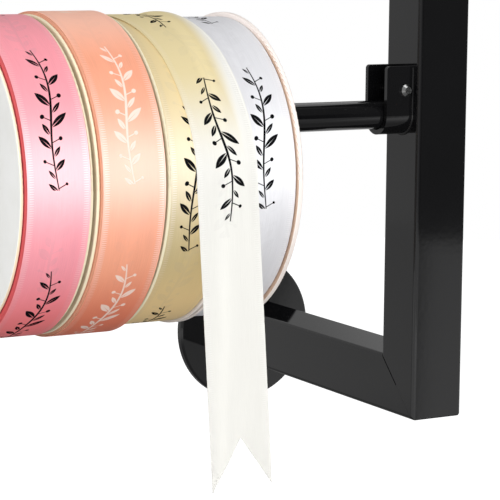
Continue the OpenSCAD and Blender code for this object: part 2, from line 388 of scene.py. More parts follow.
def black_paint(settings):
    """Glossy black paint on the steel tube, plates, cradles and rods."""
    material, wiring, shader = new_material("Gloss black paint")
    skin = wiring.group(shared(paint_skin_group), Position=wiring.spot())
    tone = wiring.mix(skin["Tone"], tinted(settings.colour, 0.72), tinted(settings.colour, 1.25))
    rough = settings.roughness
    wiring.set(
        shader,
        Base_Color=wiring.mix(skin["Dust"] * 0.05, tone, DUST),
        Roughness=wiring.ramp(skin["Tone"], 0.25, 0.75, rough * 0.85, rough * 1.2),
        Normal=wiring.bump(skin["Height"], settings.peel),
        Specular_IOR_Level=0.5,
        IOR=1.5,
    )
    return material


def plated_steel():
    """Plated steel of the keeper screws and nuts, a little dulled."""
    material, wiring, shader = new_material("Bright zinc steel")
    spot = wiring.spot()
    cloud = wiring.noise(spot, 420.0, 3.0, 0.6)
    scratch = wiring.noise(wiring.stretch(spot, (4000.0, 300.0, 900.0)), 1.0, 2.0, 0.6)
    wiring.set(
        shader,
        Base_Color=wiring.mix(cloud, STEEL_DARK, STEEL_LIGHT),
        Roughness=wiring.ramp(scratch, 0.3, 0.7, 0.14, 0.26),
        Normal=wiring.bump(scratch, 0.01 * MM),
        Metallic=1.0,
    )
    return material


def moulded_plastic(name, colour, deep, roughness, rim=None, inner_painted_shade=None):
    """Moulded plastic; rim tones a flange's edge, and a given tan darkens its left face below the
    top as painted shade.
    """
    material, wiring, shader = new_material(name)
    spot = wiring.spot()
    grain = wiring.noise(spot, 2600.0, 2.0, 0.55)
    cloud = wiring.noise(spot, 55.0, 3.0, 0.6)
    tone = wiring.mix(wiring.ramp(cloud, 0.3, 0.7), deep, colour)
    if rim or inner_painted_shade:
        sideways = wiring.split(wiring.read("ShaderNodeNewGeometry", "True Normal"))[0]
    if rim:
        tone = wiring.mix(wiring.ramp(abs(sideways), 0.9, 0.5), tone, rim)
    if inner_painted_shade:
        # Tan on the left face below the top, where the flange stands over its ribbon: painted shade
        top, lower = AXIS.z + 0.97 * FLANGE_R, AXIS.z + 0.72 * FLANGE_R
        low_down = wiring.ramp(wiring.split(spot)[2], top, lower)
        tone = wiring.mix(wiring.ramp(sideways, -0.6, -0.9) * low_down, tone, inner_painted_shade)
    wiring.set(
        shader,
        Base_Color=tone,
        Roughness=wiring.ramp(grain, 0.3, 0.7, roughness * 0.88, roughness * 1.12),
        Normal=wiring.bump(grain, 0.008 * MM),
        Specular_IOR_Level=0.5,
    )
    return material


def satin(
    settings, name, colour, ink, sheen, ticks, start, ghost,
    ghost_shift=47.0, shade=0.86, centre=0.5, hung=None, under=None, over=None,
):
    """Printed satin: weave, ticks, the sprig print and a faint print of the turn below.

    hung is for a loose end: where its print stops, its colour on the spool, the lengths
    between which that gives way to its own, and the place along X where the spool ends.
    """
    material, wiring, shader = new_material(name)
    uv = wiring.read("ShaderNodeTexCoord", "UV")
    width = settings.width / MM
    weave = wiring.group(shared(satin_group), UV=uv, Width=width)
    sizes = {
        "UV": uv,
        "Width": width,
        "Repeat": settings.repeat / MM,
        "Length": settings.motif / MM,
        "Centre": centre,
    }
    print_, below = (
        wiring.group(shared(sprig_group), Start=place, Weight=weight, **sizes)["Ink"]
        for place, weight in ((start, 1.0), (start + ghost_shift, GHOST_WEIGHT))
    )
    deep, streak = tinted(colour, shade), weave["Streak"]
    tone = wiring.mix(wiring.ramp(streak, 0.3, 0.7), deep, colour)
    if hung:
        stop, resting, low, high, beside = hung
        along = wiring.split(uv)[1] * width
        printed = wiring.ramp(along, stop, stop - 0.3)
        print_, below = print_ * printed, below * printed
        sideways = wiring.split(wiring.spot())[0]
        past_flange = wiring.ramp(sideways, beside, beside + BACKED_EDGE)
        clear = wiring.math("MAXIMUM", wiring.ramp(along, low, high), past_flange)
        tone = wiring.mix(clear, resting, tone)
    upward = wiring.split(wiring.read("ShaderNodeNewGeometry", "Normal"))[2]
    # Lighter tone on faces turned up: painted light
    if over:
        lit, low, high = over
        tone = wiring.mix(wiring.ramp(upward, low, high), tone, lit)
    # Tone on faces turned down: painted shade, deeper for pink and peach, lighter for cream as
    # painted bounce light
    if under:
        tone = wiring.mix(wiring.ramp(upward, -0.4, -0.95), tone, under)
    # Pale selvedge and ticks show most where the ribbon faces level rather than up or down: real
    # ticks with a painted highlight
    pale = tuple(part + (1.0 - part) * 0.45 for part in colour)
    painted_glint_zone = wiring.ramp(abs(upward), 0.35, 0.75, ticks, 0.35 * ticks)
    for mask, layer in (
        (weave["Selvedge"] * (painted_glint_zone * 0.25), pale),
        (weave["Tick"] * (painted_glint_zone * 0.5), pale),
        # Slots between ticks are darker: painted shade in these small recesses
        (weave["Slot"] * (0.3 * ticks), tinted(deep, 0.8)),
        (below * ghost, GHOST_INK),
        (print_, ink),
    ):
        tone = wiring.mix(mask, tone, layer)
    rough = settings.roughness
    hidden_sheen = sheen * (0.75 if ink[0] > 0.5 else 1.0)
    wiring.set(
        shader,
        Base_Color=tone,
        Roughness=wiring.ramp(streak, 0.25, 0.75, rough * 0.9, rough * 1.1) + print_ * 0.12,
        Coat_Weight=sheen - print_ * hidden_sheen,
        Normal=wiring.bump(weave["Height"], 0.035 * MM),
        Specular_IOR_Level=0.0,
        Coat_Roughness=settings.sheen_width,
        Coat_IOR=settings.sheen_strength,
    )
    return material


def ribbon_side(name, colour):
    """The sides of a winding, where the edges of its turns show as fine rings."""
    material, wiring, shader = new_material(name)
    about_axis = wiring.stretch(wiring.spot(), (1, 1, 1), (0, -AXIS.y, -AXIS.z))
    rings = wiring.group(shared(layer_edge_group), Position=about_axis, Pitch=LAYER_PITCH)
    wiring.set(
        shader,
        Base_Color=wiring.mix(rings["Ring"], tinted(colour, 0.72), colour),
        Roughness=wiring.ramp(rings["Shade"], 0.3, 0.7, 0.55, 0.75),
        Normal=wiring.bump(rings["Ring"], 0.12 * MM),
    )
    return material


# Mesh helpers

MERGE = 0.001 * MM
SHARP_ANGLE = 1.0


def new_object(name, mesh, materials):
    """Puts a finished mesh in the scene."""
    shape = bpy.data.meshes.new(name)
    mesh.to_mesh(shape)
    mesh.free()
    for material in materials:
        shape.materials.append(material)
    piece = bpy.data.objects.new(name, shape)
    bpy.context.scene.collection.objects.link(piece)
    return piece


def add_piece(name, mesh, materials, body, slot, *nodes):
    """Puts a finished mesh in the scene, on a body of the frame, in the place of some nodes."""
    piece = new_object(name, mesh, materials)
    if body:
        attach(piece, body)
    if nodes:
        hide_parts(*nodes)
    return piece


def pick(geometry, kind):
    """What is of one kind in the result of a mesh operation."""
    return [item for item in geometry if isinstance(item, kind)]


def clean(mesh, smooth):
    """Joins a mesh's doubled points, turns its faces outward and sets their shading."""
    bmesh.ops.remove_doubles(mesh, verts=mesh.verts, dist=MERGE)
    bmesh.ops.recalc_face_normals(mesh, faces=mesh.faces)
    for face in mesh.faces:
        face.smooth = smooth


def flat_ribbon(width, length, across, along, thickness):
    """A flat strip of ribbon from the origin along +Y, face up, with UV in ribbon widths."""
    mesh = bmesh.new()
    bmesh.ops.create_grid(mesh, x_segments=across, y_segments=along, size=0.5)
    bmesh.ops.scale(mesh, vec=(width, length, 1.0), verts=mesh.verts)
    bmesh.ops.translate(mesh, vec=(0, length / 2, 0), verts=mesh.verts)
    top = list(mesh.faces)
    rim = [edge for edge in mesh.edges if edge.is_boundary]
    walls = bmesh.ops.extrude_edge_only(mesh, edges=rim)["geom"]
    under = bmesh.ops.duplicate(mesh, geom=top)["geom"]
    for lower in (walls, under):
        bmesh.ops.translate(mesh, vec=(0, 0, -thickness), verts=pick(lower, bmesh.types.BMVert))
    bmesh.ops.remove_doubles(mesh, verts=mesh.verts, dist=thickness / 20)
    bmesh.ops.recalc_face_normals(mesh, faces=mesh.faces)
    for edge in mesh.edges:
        edge.smooth = edge.calc_face_angle(0.0) < SHARP_ANGLE
    layer = mesh.loops.layers.uv.new("Ribbon")
    for face in mesh.faces:
        face.smooth = True
        for loop in face.loops:
            loop[layer].uv = (loop.vert.co.x / width + 0.5, loop.vert.co.y / width)
    return mesh


def bend_mesh(mesh, rule):
    """Moves every point of a mesh by a rule from its flat place to its real one."""
    for vert in mesh.verts:
        vert.co = rule(vert.co)
    mesh.normal_update()
    bmesh.ops.recalc_face_normals(mesh, faces=mesh.faces)
    return mesh


def smooth_step(low, high, value):
    """Goes smoothly from 0 to 1 while a value goes from low to high."""
    share = min(1.0, max(0.0, (value - low) / (high - low)))
    return share * share * (3.0 - 2.0 * share)


# Settings


def number(name, description, default, **options):
    return bpy.props.FloatProperty(name=name, description=description, default=default, **options)


def colour_prop(name, description, default):
    return bpy.props.FloatVectorProperty(
        name=name, description=description, default=default,
        size=3, min=0.0, max=1.0, subtype="COLOR",
    )


def length_prop(name, description, default):
    return number(name, description, default, min=0.0, unit="LENGTH", subtype="DISTANCE")


def angle_prop(name, description, degrees):
    return number(name, description, math.radians(degrees), unit="ROTATION", subtype="ANGLE")


def factor_prop(name, description, default):
    return number(name, description, default, subtype="FACTOR")


def power_prop(name, description, default):
    return number(name, description, default, min=0.0, unit="POWER")


class PaintSettings(bpy.types.PropertyGroup):
    """Black paint of the rack."""

    colour: colour_prop("Paint colour", "Colour under the gloss", (0.0045, 0.0045, 0.005))
    roughness: factor_prop("Paint roughness", "How blurred the paint's reflections are", 0.06)
    peel: length_prop("Orange peel", "Height of the paint's orange peel", 0.004 * MM)


class RibbonSettings(bpy.types.PropertyGroup):
    """Wound ribbons."""

    width: length_prop("Ribbon width", "Width of the ribbon", INCH)
    layer: length_prop("Layer", "Thickness of one turn on the spool", 0.5 * MM)
    sheet: length_prop("Sheet", "Thickness of the ribbon itself", 0.28 * MM)
    repeat: length_prop("Print repeat", "Length from one printed sprig to the next", 88 * MM)
    motif: length_prop("Sprig length", "Length of one printed sprig", 57 * MM)
    roughness: factor_prop("Satin roughness", "Roughness of the satin under its sheen", 0.5)
    sheen_width: factor_prop("Sheen width", "How broad the satin's sheen is", 0.52)
    sheen_strength: number(
        "Sheen strength", "Refractive index of the sheen", 1.8, min=1.0, max=4.0, subtype="UNSIGNED"
    )
    pink: colour_prop("Pink", "Colour of the pink ribbon", (0.95, 0.31, 0.37))
    peach: colour_prop("Peach", "Colour of the peach ribbon", (0.92, 0.36, 0.21))
    cream: colour_prop("Cream", "Colour of the wound cream ribbon", (0.55, 0.43, 0.20))
    white: colour_prop("White", "Colour of the white ribbon", (0.74, 0.74, 0.77))
    black_ink: colour_prop("Black ink", "Colour of most ribbons' print", (0.006, 0.006, 0.007))
    white_ink: colour_prop("White ink", "Colour of the peach ribbon's print", (0.88, 0.67, 0.58))


class TailSettings(bpy.types.PropertyGroup):
    """Loose ribbon end."""

    colour: colour_prop("Tail colour", "Colour of one layer of cream ribbon", (0.767, 0.758, 0.715))
    backed: colour_prop("Backed colour", "Colour of the end on its spool", (0.68, 0.575, 0.33))
    wrap: angle_prop("Wrap", "Angle from the front over the top where the loose end begins", 112)
    drop: length_prop("Drop", "Length from the spool's axis down to the tips", 117 * MM)
    notch: length_prop("Notch", "Depth of the swallow-tail cut", 20 * MM)
    lean: angle_prop("Lean", "Angle of the hanging end from the vertical", 3.6)
    lift: length_prop("Lift", "How far the left edge stands off the spool", 0.3 * MM)


class StageSettings(bpy.types.PropertyGroup):
    """Floor, light and camera."""

    floor: number("Floor height", "Height of the floor", -0.3, unit="LENGTH", subtype="DISTANCE")
    floor_radius: length_prop("Floor radius", "Radius of the floor", 2.75)
    key: power_prop("Key light", "Power of the large soft light in front", 25.5)
    fill: power_prop("Side fill", "Power of the soft light on the left", 22.0)
    rod_line: power_prop("Rod line", "Power of the strips that show as lines along the rods", 1.0)
    glint: power_prop("Screw glint", "Power of the small light that the screws mirror", 1.6)
    sheen: power_prop("Sheen strip", "Power of the light that the satin mirrors", 70.0)
    surround: factor_prop("Surround", "Strength of the even light from all sides", 0.36)
    camera_place: bpy.props.FloatVectorProperty(
        name="Camera place",
        description="Where the camera stands",
        default=(-0.52245, -0.93369, 0.19261),
        size=3,
        subtype="TRANSLATION",
        unit="LENGTH",
    )
    yaw: angle_prop("Yaw", "Turn of the camera to the right of the wall's normal", 29.4447)
    pitch: angle_prop("Pitch", "Tilt of the camera below the horizon", 8.2325)
    roll: angle_prop("Roll", "Turn of the camera about its own axis", 0.5043)
    lens: number("Lens", "Focal length of the camera", 158.11, unit="CAMERA")


class RackSettings(bpy.types.PropertyGroup):
    """All settings of the ribbon rack."""

    paint: bpy.props.PointerProperty(type=PaintSettings, name="Paint")
    ribbon: bpy.props.PointerProperty(type=RibbonSettings, name="Ribbon")
    tail: bpy.props.PointerProperty(type=TailSettings, name="Tail")
    stage: bpy.props.PointerProperty(type=StageSettings, name="Stage")


# Finishes of the frame's own nodes


def finish_nodes(names, material):
    """Gives frame nodes one material."""
    for name in names:
        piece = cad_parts[name]
        piece.data.materials.clear()
        piece.data.materials.append(material)


class RACK_OT_paint_frame(bpy.types.Operator):
    """Paint the tube frame, wall plates, cradles and rods"""

    bl_idname = "ribbon_rack.paint_frame"
    bl_label = "Paint Frame"

    def execute(self, context):
        paint = black_paint(context.scene.ribbon_rack.paint)
        finish_nodes(nodes_ending("upright", "_arm", "_plate", "_cradle", "_rod"), paint)
        plugs = moulded_plastic("Black plastic", (0.012, 0.012, 0.013), (0.008, 0.008, 0.009), 0.38)
        finish_nodes(nodes_ending("_plugs"), plugs)
        return {"FINISHED"}


class RACK_OT_finish_fasteners(bpy.types.Operator):
    """Give the keeper screws and nuts their plated steel"""

    bl_idname = "ribbon_rack.finish_fasteners"
    bl_label = "Finish Fasteners"

    def execute(self, context):
        finish_nodes(FASTENERS, plated_steel())
        return {"FINISHED"}


RIM_COLOUR = (0.90, 0.83, 0.60)
# Tan painted shade on the inner face of the white spool's end flange
END_PAINTED_SHADE = (0.62, 0.42, 0.30)


class RACK_OT_finish_spools(bpy.types.Operator):
    """Give the spool flanges and cores their moulded plastic"""

    bl_idname = "ribbon_rack.finish_spools"
    bl_label = "Finish Spools"

    def execute(self, context):
        ivory = moulded_plastic(
            "Ivory plastic", (0.88, 0.88, 0.86), (0.84, 0.84, 0.81), 0.42, rim=RIM_COLOUR
        )
        # These flanges face each other in the narrow grooves between spools: their warmer, darker
        # ivory is painted shade of the grooves
        groove_shaded_ivory = moulded_plastic(
            "Aged ivory plastic", (0.86, 0.76, 0.58), (0.80, 0.69, 0.50), 0.42, rim=RIM_COLOUR
        )
        pale = moulded_plastic("Pale plastic", (0.92, 0.85, 0.80), (0.87, 0.79, 0.73), 0.4)
        end = moulded_plastic(
            "End plastic", (0.96, 0.88, 0.83), (0.93, 0.84, 0.79), 0.4, inner_painted_shade=END_PAINTED_SHADE
        )
        for plastic, *names in (
            (ivory, "pink_core", "pink_left_flange", "peach_core"),
            (groove_shaded_ivory, "pink_right_flange", "peach_left_flange"),
            (groove_shaded_ivory, "peach_right_flange", "cream_left_flange"),
            (pale, "cream_core", "cream_right_flange", "white_core", "white_left_flange"),
            (end, "white_right_flange"),
        ):
            finish_nodes(names, plastic)
        return {"FINISHED"}


# Welds

MITRE_FILLED = 16.5 * MM
MITRE_OVERLAP = 1 * MM
MITRE_THICKNESS = 0.5 * MM
MITRE_INSET = 0.04 * MM
CRADLE_BEAD = 0.7 * MM
CRADLE_BEAD_INSET = 0.2 * MM
CRADLE_BEAD_END = 0.6 * MM
ARM_BEAD = 1.1 * MM
ARM_BEAD_INSET = 0.3 * MM
ARM_CORNER = 1.75 * MM
BEAD_SIDES, BEND_STEPS, CORNER_STEPS = 10, 20, 5


class RACK_OT_lay_welds(bpy.types.Operator):
    """Lay the weld beads round the cradles and the arms' ends, and fill the mitres"""

    bl_idname = "ribbon_rack.lay_welds"
    bl_label = "Lay Welds"

    def execute(self, context):
        paint = bpy.data.materials["Gloss black paint"]
        for name, ending, lay, smooth in (
            ("cradle_welds", "_cradle", self.cradle_bead, True),
            ("plate_welds", "_arm", self.arm_bead, True),
            ("mitre_welds", "_arm", self.mitre_fill, False),
        ):
            mesh = bmesh.new()
            for node in nodes_ending(ending):
                lay(mesh, node)
            clean(mesh, smooth)
            add_piece(name, mesh, (paint,), "frame", "black_paint")
        return {"FINISHED"}

    def ring(self, mesh, place, turn, radius):
        """A small circle of edges, the section of a bead."""
        at = Matrix.Translation(place) @ turn
        circle = bmesh.ops.create_circle(mesh, segments=BEAD_SIDES, radius=radius, matrix=at)
        return list(dict.fromkeys(edge for vert in circle["verts"] for edge in vert.link_edges))

    def run(self, mesh, edges, step):
        """Draws a bead straight on from its last section."""
        new = bmesh.ops.extrude_edge_only(mesh, edges=edges)["geom"]
        bmesh.ops.translate(mesh, vec=step, verts=pick(new, bmesh.types.BMVert))
        return pick(new, bmesh.types.BMEdge)

    def turn(self, mesh, edges, centre, axis, angle, steps):
        """Draws a bead round a bend from its last section."""
        geometry = [*dict.fromkeys(vert for edge in edges for vert in edge.verts), *edges]
        turned = bmesh.ops.spin(
            mesh, geom=geometry, cent=centre, axis=axis, angle=angle, steps=steps
        )
        return pick(turned["geom_last"], bmesh.types.BMEdge)

    def cradle_bead(self, mesh, node):
        """A bead down one side of a cradle, round its floor and up the other side."""
        low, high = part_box(node)
        x = high.x - CRADLE_BEAD_INSET if node.startswith("right") else low.x + CRADLE_BEAD_INSET
        half = (high.y - low.y) / 2
        centre = Vector((x, (low.y + high.y) / 2, low.z + half))
        start = Vector((x, low.y, high.z - CRADLE_BEAD_END))
        first = self.ring(mesh, start, Matrix.Identity(4), CRADLE_BEAD)
        last = self.run(mesh, first, (0, 0, centre.z - start.z))
        last = self.turn(mesh, last, centre, (1, 0, 0), math.pi, BEND_STEPS)
        last = self.run(mesh, last, (0, 0, start.z - centre.z))
        for edges in (first, last):
            bmesh.ops.contextual_create(mesh, geom=edges)

    def arm_bead(self, mesh, node):
        """A bead round the end of an arm, with rounded corners."""
        low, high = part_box(node)
        half = TUBE / 2
        middle_z = low.z + half if node.endswith("upper_arm") else high.z - half
        span = TUBE - 2 * ARM_CORNER
        left = (low.x + high.x) / 2 - half + ARM_CORNER
        place = Vector((left, high.y - ARM_BEAD_INSET, middle_z - half))
        edges = self.ring(mesh, place, Matrix.Rotation(math.pi / 2, 4, "Y"), ARM_BEAD)
        ahead = Vector((1, 0, 0))
        for _ in range(4):
            edges = self.run(mesh, edges, ahead * span)
            inward = Vector((-ahead.z, 0, ahead.x))
            centre = place + ahead * span + inward * ARM_CORNER
            edges = self.turn(mesh, edges, centre, (0, -1, 0), math.pi / 2, CORNER_STEPS)
            place = centre + ahead * ARM_CORNER
            ahead = inward

    def mitre_fill(self, mesh, node):
        """Weld that closes the outer half of the saw gap between an upright and its arm."""
        low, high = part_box(node)
        outward = 1 if node.endswith("upper_arm") else -1
        axis = middle(node.split("_")[0] + "_upright")
        axis.z = (high.z if outward > 0 else low.z) - outward * TUBE / 2
        along = Vector((0, -1, outward)).normalized()
        at = Matrix.Translation(axis + along * (MITRE_FILLED / 2 - MITRE_OVERLAP))
        slope = Matrix.Rotation(math.atan2(along.z, along.y), 4, "X")
        size = Matrix.Diagonal((TUBE - MITRE_INSET, MITRE_FILLED, MITRE_THICKNESS, 1))
        bmesh.ops.create_cube(mesh, size=1.0, matrix=at @ slope @ size)


# Ribbons

# start is in millimetres from the front; over is painted light where the ribbon faces up, under is
# painted shade where it faces down (lighter for cream, as painted bounce light)
LOOKS = {
    "pink": dict(sheen=1.0, ticks=0.75, start=1.0, ghost=0.1, under=(0.97, 0.18, 0.19)),
    "peach": dict(
        sheen=0.88,
        ticks=1.0,
        start=2.0,
        ghost=0.03,
        under=(0.76, 0.16, 0.07),
        over=((0.97, 0.52, 0.38), 0.72, 1.0),
    ),
    "cream": dict(
        sheen=1.0,
        ticks=0.6,
        start=-26.0,
        ghost=0.08,
        centre=0.42,
        under=(0.92, 0.66, 0.30),
        over=((0.72, 0.57, 0.29), 0.0, 0.55),
    ),
    "white": dict(sheen=0.6, ticks=0.3, start=-10.5, ghost=0.04),
}
SIDE_COLOURS = {
    "pink": (0.84, 0.12, 0.13),
    "peach": (0.98, 0.45, 0.29),
    "cream": (0.52, 0.40, 0.17),
    "white": (0.70, 0.66, 0.66),
}
# Where an outermost turn ends, in degrees from the wall side up
LOOSE_ENDS = {"pink": -30.0, "peach": -30.0, "cream": 68.0, "white": -30.0}
# How far an outermost turn lies to the right of its winding
DRIFTS = {"peach": 0.7 * MM}
SIDE_ROOM = 0.3 * MM
CORE_ROOM = 0.1 * MM
UNEVEN = 0.12 * MM
BODY_RINGS = 14
BODY_STEPS = 160
TURN_GRID = (16, 320)
TAIL_GRID = (24, 220)


class RACK_OT_wind_ribbons(bpy.types.Operator):
    """Wind the four ribbons on their spools"""

    bl_idname = "ribbon_rack.wind_ribbons"
    bl_label = "Wind Ribbons"

    def execute(self, context):
        settings = context.scene.ribbon_rack.ribbon
        for colour in COLOURS:
            self.wind(settings, colour)
        return {"FINISHED"}

    def wind(self, settings, colour):
        title, hue = colour.title(), tuple(getattr(settings, colour))
        ink = tuple(settings.white_ink if colour == "peach" else settings.black_ink)
        face = satin(settings, title + " satin", hue, ink, **LOOKS[colour])
        side = ribbon_side(title + " ribbon side", SIDE_COLOURS[colour])
        left, right = ribbon_span(colour)
        middle_x, half = (left + right) / 2, (right - left) / 2 - SIDE_ROOM
        base = wound_radius(colour) - settings.layer
        body = self.body(middle_x, half, base)
        drift = DRIFTS.get(colour, 0.0)
        wide = half + SIDE_ROOM if drift else half
        end = math.radians(LOOSE_ENDS[colour])
        strip = self.outer_turn(settings, middle_x + drift, wide, base, end)
        spool, slot, winding = (colour + ending for ending in ("_spool", "_satin", "_winding"))
        add_piece(colour + "_wound_body", body, (side,), spool, slot, winding)
        add_piece(colour + "_outer_turn", strip, (face, side), spool, slot, winding)

    def body(self, middle_x, half, base):
        """The inner turns: a ring whose sides are slightly uneven, as stacked ribbon edges are."""
        mesh = bmesh.new()
        inner = CORE_R + CORE_ROOM
        left_side, right_side = [], []
        for i in range(BODY_RINGS + 1):
            radius = inner + (base - inner) * i / BODY_RINGS
            reach_x = half - abs(UNEVEN * math.sin(i * 2.4))
            left_side.append((middle_x - reach_x, AXIS.y - radius, AXIS.z))
            right_side.append((middle_x + reach_x, AXIS.y - radius, AXIS.z))
        verts = [mesh.verts.new(place) for place in left_side + right_side[::-1]]
        geometry = verts + [mesh.edges.new(ends) for ends in zip(verts, verts[1:] + verts[:1])]
        bmesh.ops.spin(
            mesh,
            geom=geometry,
            cent=AXIS,
            axis=(1, 0, 0),
            angle=FULL_TURN,
            steps=BODY_STEPS,
            use_merge=True,
        )
        clean(mesh, True)
        return mesh

    def outer_turn(self, settings, middle_x, half, base, end):
        """The outermost turn, from its covered end to its loose end on the turn below."""
        length = base * FULL_TURN
        mesh = flat_ribbon(2 * half, length, *TURN_GRID, settings.sheet)

        def rule(flat):
            share = flat.y / length
            angle = end - FULL_TURN * (1.0 - share)
            radius = base + settings.layer * (0.3 + 0.7 * share) + flat.z
            around = Vector((0, math.cos(angle), math.sin(angle))) * radius
            return Vector((middle_x + flat.x, AXIS.y, AXIS.z)) + around

        front = (math.pi - end) * base
        layer = mesh.loops.layers.uv.active
        for face in mesh.faces:
            face.material_index = 1 if abs(face.normal.z) < 0.5 else 0
            for loop in face.loops:
                u, v = loop[layer].uv
                loop[layer].uv = (u, (front - v * 2 * half) / settings.width)
        return bend_mesh(mesh, rule)


TAIL_ROOM = 0.3 * MM
TAIL_GAP = 0.08 * MM
TAIL_CURL = -0.2 * MM
# How far the frame's own tail reaches above the spools' axis
TAIL_ABOVE = 6 * MM
# How far left of the flange the tail begins and ends to climb onto it
CLIMB_FROM, CLIMB_TO = 6 * MM, 0.5 * MM
# How far below the axis the tail's sprig ends, and below which no print follows
PRINT_END, PRINT_STOP = 14 * MM, 20 * MM


class RACK_OT_hang_tail(bpy.types.Operator):
    """Hang the loose end of the cream ribbon over the front of its spool"""

    bl_idname = "ribbon_rack.hang_tail"
    bl_label = "Hang Tail"

    def execute(self, context):
        settings = context.scene.ribbon_rack
        tail, ribbon = settings.tail, settings.ribbon
        wound_r = wound_radius("cream")
        low_r = wound_r + ribbon.sheet + TAIL_GAP
        radius = max(wound_r, FLANGE_R) + ribbon.sheet + TAIL_ROOM
        wound = radius * tail.wrap
        length = wound + tail.drop
        half = ribbon.width / 2
        cut = 2 * tail.notch
        slant = math.tan(tail.lean)
        left_x, flange_x = ribbon_span("cream")
        start_x = (left_x + flange_x) / 2
        front_x = middle("ribbon_tail").x - slant * (tail.drop - TAIL_ABOVE) / 2

        def centre(along):
            """Where the middle of the ribbon lies, from its start on the spool to its tips."""
            if along >= wound:
                return front_x + slant * (along - wound)
            share = along / wound
            drawn = 0.64 * smooth_step(0.06, 0.58, share) + 0.36 * smooth_step(0.45, 1.0, share)
            return start_x + (front_x - start_x) * drawn

        def rule(flat):
            across = flat.x / half
            along = flat.y
            past_cut = along - (length - cut)
            if past_cut > 0:
                along = length - cut + past_cut * (cut - tail.notch * (1 - abs(across))) / cut
            turn = tail.lean * smooth_step(0.3 * wound, wound, along)
            along_here = along - flat.x * math.sin(turn)
            x = centre(along_here) + flat.x * math.cos(turn)
            rise = smooth_step(0.36 * wound, 0.92 * wound, along)
            rise *= 1.0 - 0.75 * smooth_step(wound, length, along)
            lift = tail.lift * rise * (0.5 - 0.5 * across) ** 1.6
            climb = smooth_step(flange_x - CLIMB_FROM, flange_x - CLIMB_TO, x)
            climb *= smooth_step(0.0, 0.1, along_here / wound)
            r = low_r + (radius - low_r) * climb + flat.z + lift
            if along_here < wound:
                angle = tail.wrap - along_here / radius
                return Vector((x, AXIS.y - r * math.cos(angle), AXIS.z + r * math.sin(angle)))
            below = along_here - wound
            curl = TAIL_CURL * smooth_step(0.0, tail.drop, below) * across * across
            return Vector((x, AXIS.y - r + curl, AXIS.z - below))

        face = satin(
            ribbon,
            "Tail satin",
            tuple(tail.colour),
            tuple(ribbon.black_ink),
            sheen=0.12,
            ticks=0.3,
            start=(wound + PRINT_END - ribbon.motif) / MM,
            ghost=0.05,
            ghost_shift=40.0,
            shade=0.93,
            hung=(
                (wound + PRINT_STOP) / MM,
                tuple(tail.backed),
                0.60 * wound / MM,
                0.95 * wound / MM,
                flange_x - 1 * MM,
            ),
        )
        mesh = bend_mesh(flat_ribbon(ribbon.width, length, *TAIL_GRID, ribbon.sheet), rule)
        piece = add_piece("ribbon_end", mesh, (face,), None, "tail_satin", "ribbon_tail")
        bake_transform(piece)
        return {"FINISHED"}


# Stage

SPOOLS = (-0.16, -0.2, 0.12)
ROD_END = (-0.05, -0.16, 0.117)
FLOOR_CENTRE = (-0.2, -0.16)
FLOOR_GLOW = 0.96
RODS = ("low_rod", "mid_rod", "top_rod")


def linked_pieces(name, pieces):
    """A collection of pieces for a lamp's light linking."""
    collection = bpy.data.collections.new(name)
    for piece in pieces:
        collection.objects.link(bpy.data.objects[piece])
    return collection


